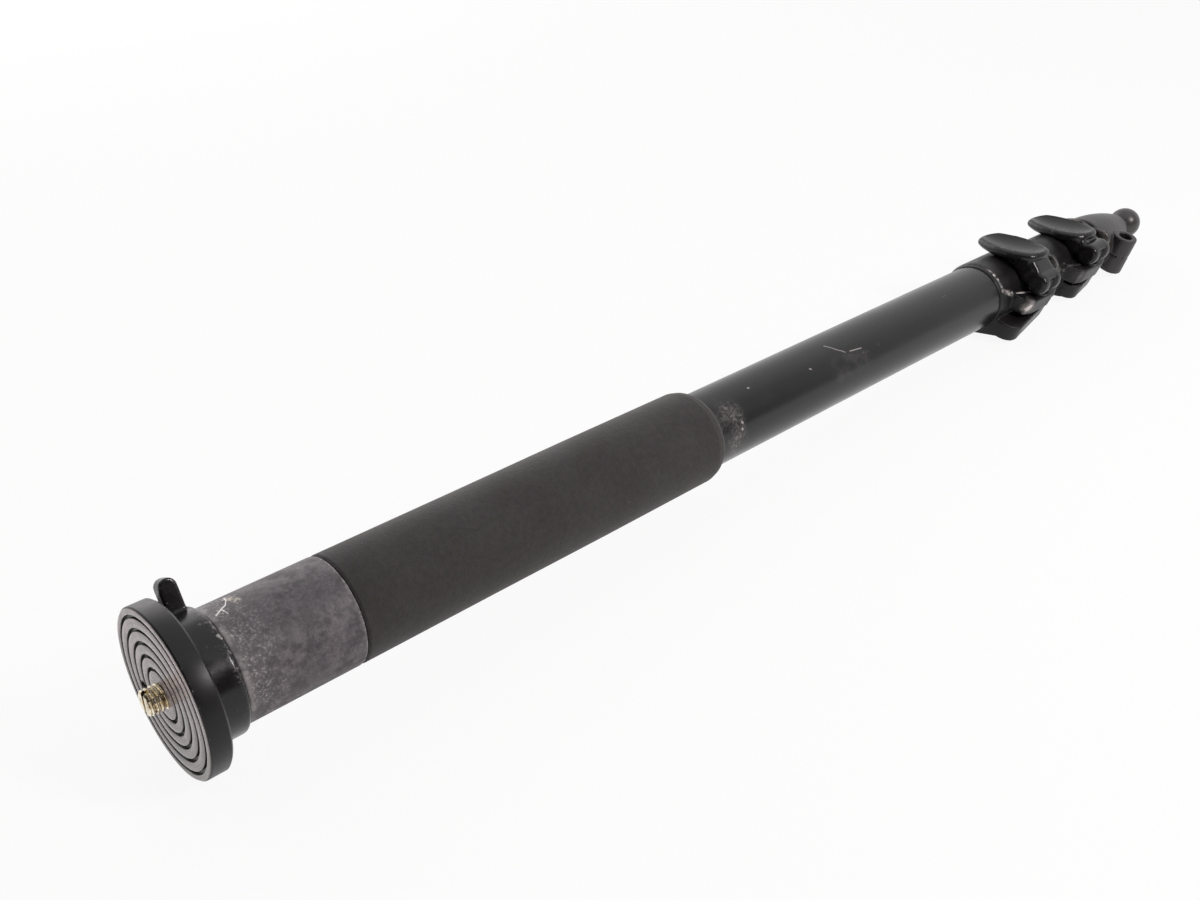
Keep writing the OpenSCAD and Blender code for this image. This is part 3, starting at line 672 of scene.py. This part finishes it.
shank = turned_piece("camera_screw", [
    (0, -STUD_OUT + CORE_BACK), (CORE_R, -STUD_OUT + CORE_BACK), (CORE_R, CORE_BACK),
    (NECK_R, CORE_BACK), (NECK_R, NECK_END), (REAR_R, NECK_END),
    (REAR_R, REAR_TIP), (REAR_TIP_R, REAR_END), (0, REAR_END)], STUD_FACETS)
thread = drawn_line("thread", [
    (radius, -STUD_OUT - RUN_IN * PITCH + share * PITCH) for radius, share in TOOTH])
bpy.ops.object.mode_set(mode="OBJECT")
apply_to(thread, "SCREW", axis="X", angle=2 * math.pi, screw_offset=PITCH, iterations=TURNS,
         steps=THREAD_FACETS, render_steps=THREAD_FACETS,
         use_merge_vertices=True, merge_threshold=SLIVER)
bpy.ops.object.mode_set(mode="EDIT")
bpy.ops.mesh.select_all(action="SELECT")
bpy.ops.mesh.remove_doubles(threshold=SLIVER)
for station, outer in ((-STUD_OUT, False), (THREAD_END, True)):
    bpy.ops.mesh.select_all(action="SELECT")
    bpy.ops.mesh.bisect(plane_co=(station, 0, 0), plane_no=(1, 0, 0), use_fill=True,
                        clear_inner=not outer, clear_outer=outer)
bpy.ops.mesh.select_all(action="SELECT")
bpy.ops.mesh.remove_doubles(threshold=WELD)
bpy.ops.mesh.normals_make_consistent(inside=False)
bpy.ops.object.mode_set(mode="OBJECT")
chamfer = turned_piece("chamfer", [
    (0, -STUD_OUT), (STUD_R - CHAMFER, -STUD_OUT), (CHAMFER_R, -STUD_OUT + CHAMFER),
    (CHAMFER_R, CHAMFER_END), (0, CHAMFER_END)], STUD_FACETS)
combined(thread, chamfer, "INTERSECT")
combined(shank, thread, "UNION")
deselect()
bpy.ops.mesh.primitive_cube_add(size=1, location=(-STUD_OUT + SLOT_BACK, 0, 0))
slot_cut = bpy.context.object
bpy.ops.transform.resize(value=SLOT_SIZE)
combined(shank, slot_cut, "DIFFERENCE")
clear_slivers(shank)
smooth_by(shank, 32)
brass_finish, brass_shader = finish_start("plated_brass")
tarnish = grain(brass_finish, 420, 5, 0.65)
coat(brass_finish, brass_shader,
     tint(brass_finish, between(brass_finish, tarnish, 0.34, 0.60), BRASS_TARNISH, BRASS_BRIGHT),
     between(brass_finish, tarnish, 0.3, 0.7, 0.06, 0.15))
relief(brass_finish, brass_shader, grain(brass_finish, 1800, 3), depth=0.00003, strength=0.4)
brass_shader.inputs["Metallic"].default_value = 1.0
dress(shank, brass_finish)
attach(shank, "upper_section")
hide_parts("camera_stud")

# The lock castings: alloy with a dark coat, each a sleeve on the end of a tube with a split clamp.
# The swept front edge and the nose of the upper lug are worn bright, and a painted highlight runs along
# the top edge of the wall behind the lever.
ROLL = math.radians(20)
SWEEP = math.radians(72)
SWEEP_FROM = 0.0128
SHELL_FRONT = 0.0028
WALL_AT = 0.0498
CASTING_LONG = 0.058
FIXED_LONG = 0.020
RUNNING_FROM = 0.019
CAST_VOXEL = 0.00042
DRILL_FACETS = 144
COAT_DEEP = (0.0068, 0.0059, 0.0063)
COAT_PALE = (0.0150, 0.0130, 0.0135)
COAT_SPECKLE = (0.009, 0.0080, 0.0083)
TUBE_UNDER = (0.0065, 0.0060, 0.0066)
WORN_METAL_AND_HIGHLIGHT = (0.74, 0.71, 0.69)


def bored(piece, radius, start, end):
    combined(piece, round_bar(radius, start, end, 0, 0, DRILL_FACETS), "DIFFERENCE")


def casting_finish(name, front, nose, shell_r, wear):
    finish, shader = finish_start(name)
    speckle = grain(finish, 1300, 3, 0.6)
    mottle = grain(finish, 70, 6, 0.65)
    along = axis_of(finish, "X", -ROLL)
    across = axis_of(finish, "Y", -ROLL)
    height = axis_of(finish, "Z", -ROLL)
    behind = sums(finish, "SUBTRACT", along, front + SHELL_FRONT)
    inward = sums(finish, "ADD", across, SWEEP_FROM)
    sweep = sums(finish, "ADD", times(finish, behind, math.cos(SWEEP)),
                 times(finish, inward, math.sin(SWEEP)))
    sweep = sums(finish, "MINIMUM", sweep, behind)
    swept = times(finish, between(finish, off_from(finish, sweep, 0.0003), 0.0009, 0.0003),
                  between(finish, height, 0.004, 0.007),
                  between(finish, across, 0.002, -0.004, 0.15, 1.0),
                  between(finish, grain(finish, 190, 4, 0.65), 0.44, 0.60, 0.0, wear))
    spread = 0.0
    for value, middle in zip((along, across, height), nose):
        off = sums(finish, "SUBTRACT", value, middle)
        spread = sums(finish, "ADD", spread, times(finish, off, off))
    ragged = times(finish, grain(finish, 240, 5, 0.7), 0.0065)
    from_nose = sums(finish, "SUBTRACT", sums(finish, "SQRT", spread), ragged)
    worn_nose = most_of(finish, between(finish, from_nose, 0.0022, -0.0006, 0.0, 0.35 * wear),
                        between(finish, from_nose, -0.0004, -0.0018, 0.0, wear))
    round_off = off_axis(finish, across, height)
    # A painted highlight: a thin pale line along the top edge of the wall behind the lever, in the colour
    # of the worn metal.
    wall_highlight = times(finish, between(finish, off_from(finish, along, front + WALL_AT), 0.0008, 0.0003),
                 between(finish, round_off, shell_r, shell_r + 0.0009),
                 between(finish, height, 0.010, 0.013),
                 between(finish, grain(finish, 120, 4, 0.6), 0.36, 0.62, 0.02, 0.42))
    chips = times(finish, between(finish, cells(finish, 330), 0.06, 0.03),
                  between(finish, mottle, 0.55, 0.64, 0.0, 0.35))
    # The worn metal and the painted highlight on the wall take the same pale colour.
    wear_and_highlight = most_of(finish, swept, worn_nose, wall_highlight, chips)
    base = tint(finish, between(finish, mottle, 0.32, 0.7), COAT_DEEP, COAT_PALE)
    base = tint(finish, between(finish, speckle, 0.3, 0.7, 0.0, 0.35), base, COAT_SPECKLE)
    under = times(finish, between(finish, sweep, 0.0, -0.0008),
                  between(finish, round_off, shell_r + 0.0004, shell_r - 0.0004))
    base = tint(finish, under, base, TUBE_UNDER)
    coat(finish, shader, tint(finish, wear_and_highlight, base, WORN_METAL_AND_HIGHLIGHT),
         between(finish, mottle, 0.3, 0.7, 0.33, 0.46))
    relief(finish, shader, speckle, depth=0.00006, strength=0.45)
    shader.inputs["Specular IOR Level"].default_value = 0.30
    return finish


for lock, front, fixed, running, nose, shell_r, wear, body in (
        ("upper", 0.475, 0.0175, 0.0163, (0.4920, -0.0250, 0.0066), 0.0190, 1.0, "upper_section"),
        ("lower", 0.535, 0.0150, 0.0138, (0.5520, -0.0225, 0.0066), 0.0165, 0.12, "middle_section")):
    end = front + CASTING_LONG
    casting = softened(lock + "_lock_body", lock + "_lock_casting", CAST_VOXEL, passes=20, plugs=(
        (fixed + 0.0003, front, front + FIXED_LONG, 0, 0),
        (running + 0.0001, front + RUNNING_FROM, end, 0, 0)))
    bored(casting, fixed, front - DRILL_PAST, front + FIXED_LONG)
    bored(casting, running, front + RUNNING_FROM, end + DRILL_PAST)
    smooth_by(casting, 45)
    dress(casting, casting_finish(lock + "_casting_coat", front, nose, shell_r, wear))
    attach(casting, body)
    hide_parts(lock + "_lock_body")

# The lock levers: cast alloy, painted satin black, forked on a pin in the eye bolt.
# Each ends in an oval thumb paddle that is dished on top, with a crisp edge round the dish.
PIN_END = 0.0071
PIN_HOLE_R = 0.003
KNUCKLE_END = 0.0081
KNUCKLE_R = 0.0055
WEB_FROM = 0.0085
LEVER_SWELL = 0.0007
WEB_SWELL = 0.0005
PADDLE_LEAN = math.radians(-1.5)
PADDLE_TURN = math.radians(81)
DISH_AXES = (0.0230, 0.0144, 0.0080)
DISH_UP = 0.0056
INK_DEEP = (0.0095, 0.0086, 0.0096)
INK_PALE = (0.0165, 0.0152, 0.0163)
LEVER_RUBS = (0.28, 0.27, 0.27)

lever_finish, lever_shader = finish_start("satin_black_lever")
satin = grain(lever_finish, 90, 5, 0.6)
peel = grain(lever_finish, 1100, 3, 0.5)
rubs = times(lever_finish, between(lever_finish, grain(lever_finish, 320, 4, 0.7), 0.6, 0.72),
             between(lever_finish, satin, 0.50, 0.64, 0.0, 0.12))
ink = tint(lever_finish, satin, INK_DEEP, INK_PALE)
coat(lever_finish, lever_shader, tint(lever_finish, rubs, ink, LEVER_RUBS),
     between(lever_finish, satin, 0.3, 0.7, 0.20, 0.30))
relief(lever_finish, lever_shader, peel, depth=0.00004, strength=0.3)
lever_shader.inputs["Specular IOR Level"].default_value = 0.36
for lock, middle, side, height, paddle in (
        ("upper", 0.505, -0.02554, 0.00965, (0.5065, -0.00337, 0.02410)),
        ("lower", 0.565, -0.02319, 0.01050, (0.5665, -0.00048, 0.01972))):
    lever = softened(lock + "_lock_lever", lock + "_lever_paddle", CAST_VOXEL, passes=40, plugs=(
        (PIN_HOLE_R, middle - KNUCKLE_END, middle - PIN_END, side, height),
        (PIN_HOLE_R, middle + PIN_END, middle + KNUCKLE_END, side, height)), swell=LEVER_SWELL)
    rounded = lever.vertex_groups.new(name="web_and_paddle")
    for point in lever.data.vertices:
        from_pin = math.hypot(point.co.y - side, point.co.z - height)
        share = (from_pin - KNUCKLE_R) / (WEB_FROM - KNUCKLE_R)
        rounded.add([point.index], min(1.0, max(0.0, share)), "REPLACE")
    apply_to(lever, "SMOOTH", factor=0.5, iterations=45, vertex_group=rounded.name)
    apply_to(lever, "DISPLACE", strength=WEB_SWELL, mid_level=0.0, vertex_group=rounded.name)
    deselect()
    bpy.ops.mesh.primitive_uv_sphere_add(segments=128, ring_count=64, radius=1, location=(0, 0, 0))
    dish = bpy.context.object
    laid = Matrix.Translation(paddle) @ Matrix.Rotation(PADDLE_LEAN, 4, "X")
    laid = laid @ Matrix.Rotation(PADDLE_TURN, 4, "Z")
    dish.matrix_world = laid @ Matrix.Translation((0, 0, DISH_UP)) @ Matrix.Diagonal((*DISH_AXES, 1))
    combined(lever, dish, "DIFFERENCE")
    clear_slivers(lever)
    smooth_by(lever, 32)
    dress(lever, lever_finish)
    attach(lever, lock + "_lever")
    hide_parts(lock + "_lock_lever")

# The foot casting: a tapered alloy sleeve, split at a side boss.
# One screw through the boss clamps it on the lower tube.
# Its coat is like that of the locks, a little paler and warmer and less worn.
FOOT_X = 0.5945
FOOT_BORE_R = 0.0125
FOOT_BORE_END = 0.6210
FOOT_PLUG = (0.0128, FOOT_X, 0.6205, 0, 0)
FOOT_DEEP = (0.0230, 0.0204, 0.0208)
FOOT_PALE = (0.0410, 0.0366, 0.0370)
FOOT_CHIPS = (0.5, 0.48, 0.46)

foot_casting = softened("foot_casting", "foot_sleeve", CAST_VOXEL, passes=16, plugs=(FOOT_PLUG,))
bored(foot_casting, FOOT_BORE_R, FOOT_X - DRILL_PAST, FOOT_BORE_END)
smooth_by(foot_casting, 45)
foot_finish, foot_shader = finish_start("foot_casting_coat")
foot_mottle = grain(foot_finish, 75, 6, 0.65)
foot_grit = grain(foot_finish, 1300, 3, 0.6)
foot_chip = times(foot_finish, between(foot_finish, cells(foot_finish, 300), 0.055, 0.03),
                  between(foot_finish, foot_mottle, 0.54, 0.62, 0.0, 0.6))
warm = tint(foot_finish, between(foot_finish, foot_mottle, 0.32, 0.7), FOOT_DEEP, FOOT_PALE)
coat(foot_finish, foot_shader, tint(foot_finish, foot_chip, warm, FOOT_CHIPS),
     between(foot_finish, foot_mottle, 0.3, 0.7, 0.36, 0.50))
relief(foot_finish, foot_shader, foot_grit, depth=0.00007, strength=0.5)
dress(foot_casting, foot_finish)
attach(foot_casting, "lower_section")
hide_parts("foot_casting")

# The ball foot: a black rubber ball with a short shank, moulded in one.
# It is pressed on the steel stem that stands in the foot casting.
BALL_X = 0.6542
BALL_R = 0.0093
BALL_STEPS = 32
BALL_FACETS = 96
SHANK_R = 0.0056
SHANK_X = 0.6295
STEM_R = 0.0025
BALL_DARK = (0.037, 0.0337, 0.0345)
BALL_PALE = (0.062, 0.0566, 0.0578)

outline = [(STEM_R, BALL_X), (STEM_R, SHANK_X), (SHANK_R, SHANK_X)]
start = math.asin(SHANK_R / BALL_R)
for count in range(BALL_STEPS):
    angle = start + (math.pi - start) * count / BALL_STEPS
    outline.append((BALL_R * math.sin(angle), BALL_X - BALL_R * math.cos(angle)))
outline += [(0, BALL_X + BALL_R), (0, BALL_X), (STEM_R, BALL_X)]
ball = turned_piece("rubber_ball", outline, BALL_FACETS)
smooth_by(ball, 40)
ball_finish, ball_shader = finish_start("ball_rubber_black")
skin = grain(ball_finish, 160, 5, 0.65)
coat(ball_finish, ball_shader, tint(ball_finish, skin, BALL_DARK, BALL_PALE),
     between(ball_finish, skin, 0.3, 0.7, 0.30, 0.40))
relief(ball_finish, ball_shader, grain(ball_finish, 1200, 3), depth=0.00005, strength=0.4)
dress(ball, ball_finish)
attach(ball, "lower_section")
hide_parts("ball_foot")

# The table: a plain white top that keeps a soft shadow.
# It leans a little, so that the plate's rim and the first lock both rest on it.
TABLE_SIZE = 8
TABLE_GAP = 0.0001
REST_SPAN = 0.526
TABLE_WHITE = (0.92, 0.885, 0.875, 1)
TABLE_GLOW = 0.91


def seen_plainly(finish):
    # The rays that meet the backdrop straight, in a mirror or through glass
    path = finish.node_tree.nodes.new("ShaderNodeLightPath")
    return most_of(finish, path.outputs["Is Camera Ray"], path.outputs["Is Glossy Ray"],
                   path.outputs["Is Transmission Ray"])


def shown_as(finish, share, first, second, end):
    tree = finish.node_tree
    blend = tree.nodes.new("ShaderNodeMixShader")
    tree.links.new(share, blend.inputs["Fac"])
    tree.links.new(first, blend.inputs[1])
    tree.links.new(second, blend.inputs[2])
    tree.links.new(blend.outputs["Shader"], tree.nodes[end].inputs["Surface"])


plate_low = -PLATE_R
lock_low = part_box("upper_lock_body")[0].z
lean = math.atan2(lock_low - plate_low, REST_SPAN)
deselect()
bpy.ops.mesh.primitive_plane_add(
    size=TABLE_SIZE, location=(0, 0, plate_low - TABLE_GAP), rotation=(0, -lean, 0))
table = bpy.context.object
table.name = "white_table"
table_finish, table_shader = finish_start("white_table_top")
table_shader.inputs["Base Color"].default_value = TABLE_WHITE
table_shader.inputs["Roughness"].default_value = 0.8
table_shader.inputs["Specular IOR Level"].default_value = 0.1
glow = table_finish.node_tree.nodes.new("ShaderNodeEmission")
glow.inputs["Strength"].default_value = 1.0
shown_as(table_finish, times(table_finish, seen_plainly(table_finish), TABLE_GLOW),
         table_shader.outputs["BSDF"], glow.outputs["Emission"], "Material Output")
dress(table, table_finish)

# The dark curtain: a tall cloth that hangs in an arc on the near side, thin along its edges.
# It keeps the white room out of the reflections there, so that the black pieces stay dark.
CURTAIN_R = 1.7
CURTAIN_TOP = 2.3
CURTAIN_FACETS = 96
CURTAIN_MIDDLE = 0.3
CURTAIN_BLACK = (0.05, 0.047, 0.050, 1)
NEAR_SIDE = (-0.66, -0.72, 0.20)

deselect()
bpy.ops.mesh.primitive_cylinder_add(
    vertices=CURTAIN_FACETS, radius=CURTAIN_R, depth=CURTAIN_TOP, end_fill_type="NOTHING",
    location=(0, 0, CURTAIN_TOP / 2))
bpy.ops.object.transform_apply(location=True)
curtain = bpy.context.object
curtain.name = "dark_curtain"
curtain.location = (CURTAIN_MIDDLE, 0, plate_low)
curtain.visible_camera = False
curtain.visible_diffuse = False
curtain.visible_shadow = False
curtain_finish, curtain_shader = finish_start("dark_cloth")
curtain_shader.inputs["Base Color"].default_value = CURTAIN_BLACK
curtain_shader.inputs["Roughness"].default_value = 0.9
outward = curtain_finish.node_tree.nodes.new("ShaderNodeVectorMath")
outward.operation = "NORMALIZE"
curtain_finish.node_tree.links.new(place_of(curtain_finish), outward.inputs[0])
toward = vector_work(curtain_finish, "DOT_PRODUCT", outward.outputs["Vector"], NEAR_SIDE)
cloth = between(curtain_finish, toward.outputs["Value"], -0.45, 0.55)
thin = curtain_finish.node_tree.nodes.new("ShaderNodeBsdfTransparent")
shown_as(curtain_finish, cloth, thin.outputs["BSDF"], curtain_shader.outputs["BSDF"], "Material Output")
dress(curtain, curtain_finish)

# The room: a large bright space that lights the monopod softly from the far side.
# It is dim on the near side, and looks plain white where it is seen itself.
ROOM_TINT = (1.0, 0.945, 0.955, 1)
ROOM_WHITE = (1, 1, 1, 1)
ROOM_DIM = 0.09
ROOM_BRIGHT = 1.30

world = bpy.data.worlds.new("bright_room")
bpy.context.scene.world = world
world.use_nodes = True
room = world.node_tree.nodes["Background"]
room.inputs["Color"].default_value = ROOM_TINT
paper = world.node_tree.nodes.new("ShaderNodeBackground")
paper.inputs["Color"].default_value = ROOM_WHITE
way = world.node_tree.nodes.new("ShaderNodeTexCoord")
nearness = vector_work(world, "DOT_PRODUCT", way.outputs["Generated"], NEAR_SIDE)
level = between(world, nearness.outputs["Value"], 0.60, -0.85, ROOM_DIM, ROOM_BRIGHT)
world.node_tree.links.new(level, room.inputs["Strength"])
shown_as(world, seen_plainly(world), room.outputs["Background"], paper.outputs["Background"],
         "World Output")

# The lamps: a wide soft one behind the monopod and a small one on the near side.
# The wide one lights the tops from behind, and the small one gives the glints.
LAMP_TINT = (1.0, 0.955, 0.955)

for name, place, aim, size, power in (
        ("back_light", (0.45, 1.30, 0.48), (0.3, 0, 0), 1.3, 7.0),
        ("window_light", (0.60, -0.80, 0.65), (0.25, 0, 0), 0.26, 6.5)):
    lamp = bpy.data.lights.new(name, "AREA")
    lamp.size = size
    lamp.energy = power
    lamp.color = LAMP_TINT
    holder = bpy.data.objects.new(name, lamp)
    bpy.context.scene.collection.objects.link(holder)
    holder.location = place
    holder.rotation_mode = "QUATERNION"
    holder.rotation_quaternion = (Vector(aim) - Vector(place)).to_track_quat("-Z", "Y")

# The camera: it stands in front of the plate, above it and to one side, and looks along the monopod.
# Its place, turn and lens were fitted to the object's circles and edges.
SENSOR_MM = 36.0
LENS_MM = 36.56
CAMERA_AT = (-0.10275, -0.31538, 0.26543)
CAMERA_RIGHT = Vector((0.72875, -0.68478, 0.0))
CAMERA_UP = Vector((0.34332, 0.36537, 0.86524))
CAMERA_AHEAD = Vector((0.59250, 0.63055, -0.50136))

eye = bpy.data.cameras.new("photo_camera")
eye.sensor_fit = "HORIZONTAL"
eye.sensor_width = SENSOR_MM
eye.lens = LENS_MM
eye.clip_start = 0.01
camera = bpy.data.objects.new("photo_camera", eye)
bpy.context.scene.collection.objects.link(camera)
turn = Matrix((CAMERA_RIGHT, CAMERA_UP, -CAMERA_AHEAD)).transposed().to_4x4()
camera.matrix_world = Matrix.Translation(CAMERA_AT) @ turn
bpy.context.scene.camera = camera
bpy.context.scene.view_settings.view_transform = "Standard"

bpy.context.view_layer.update()
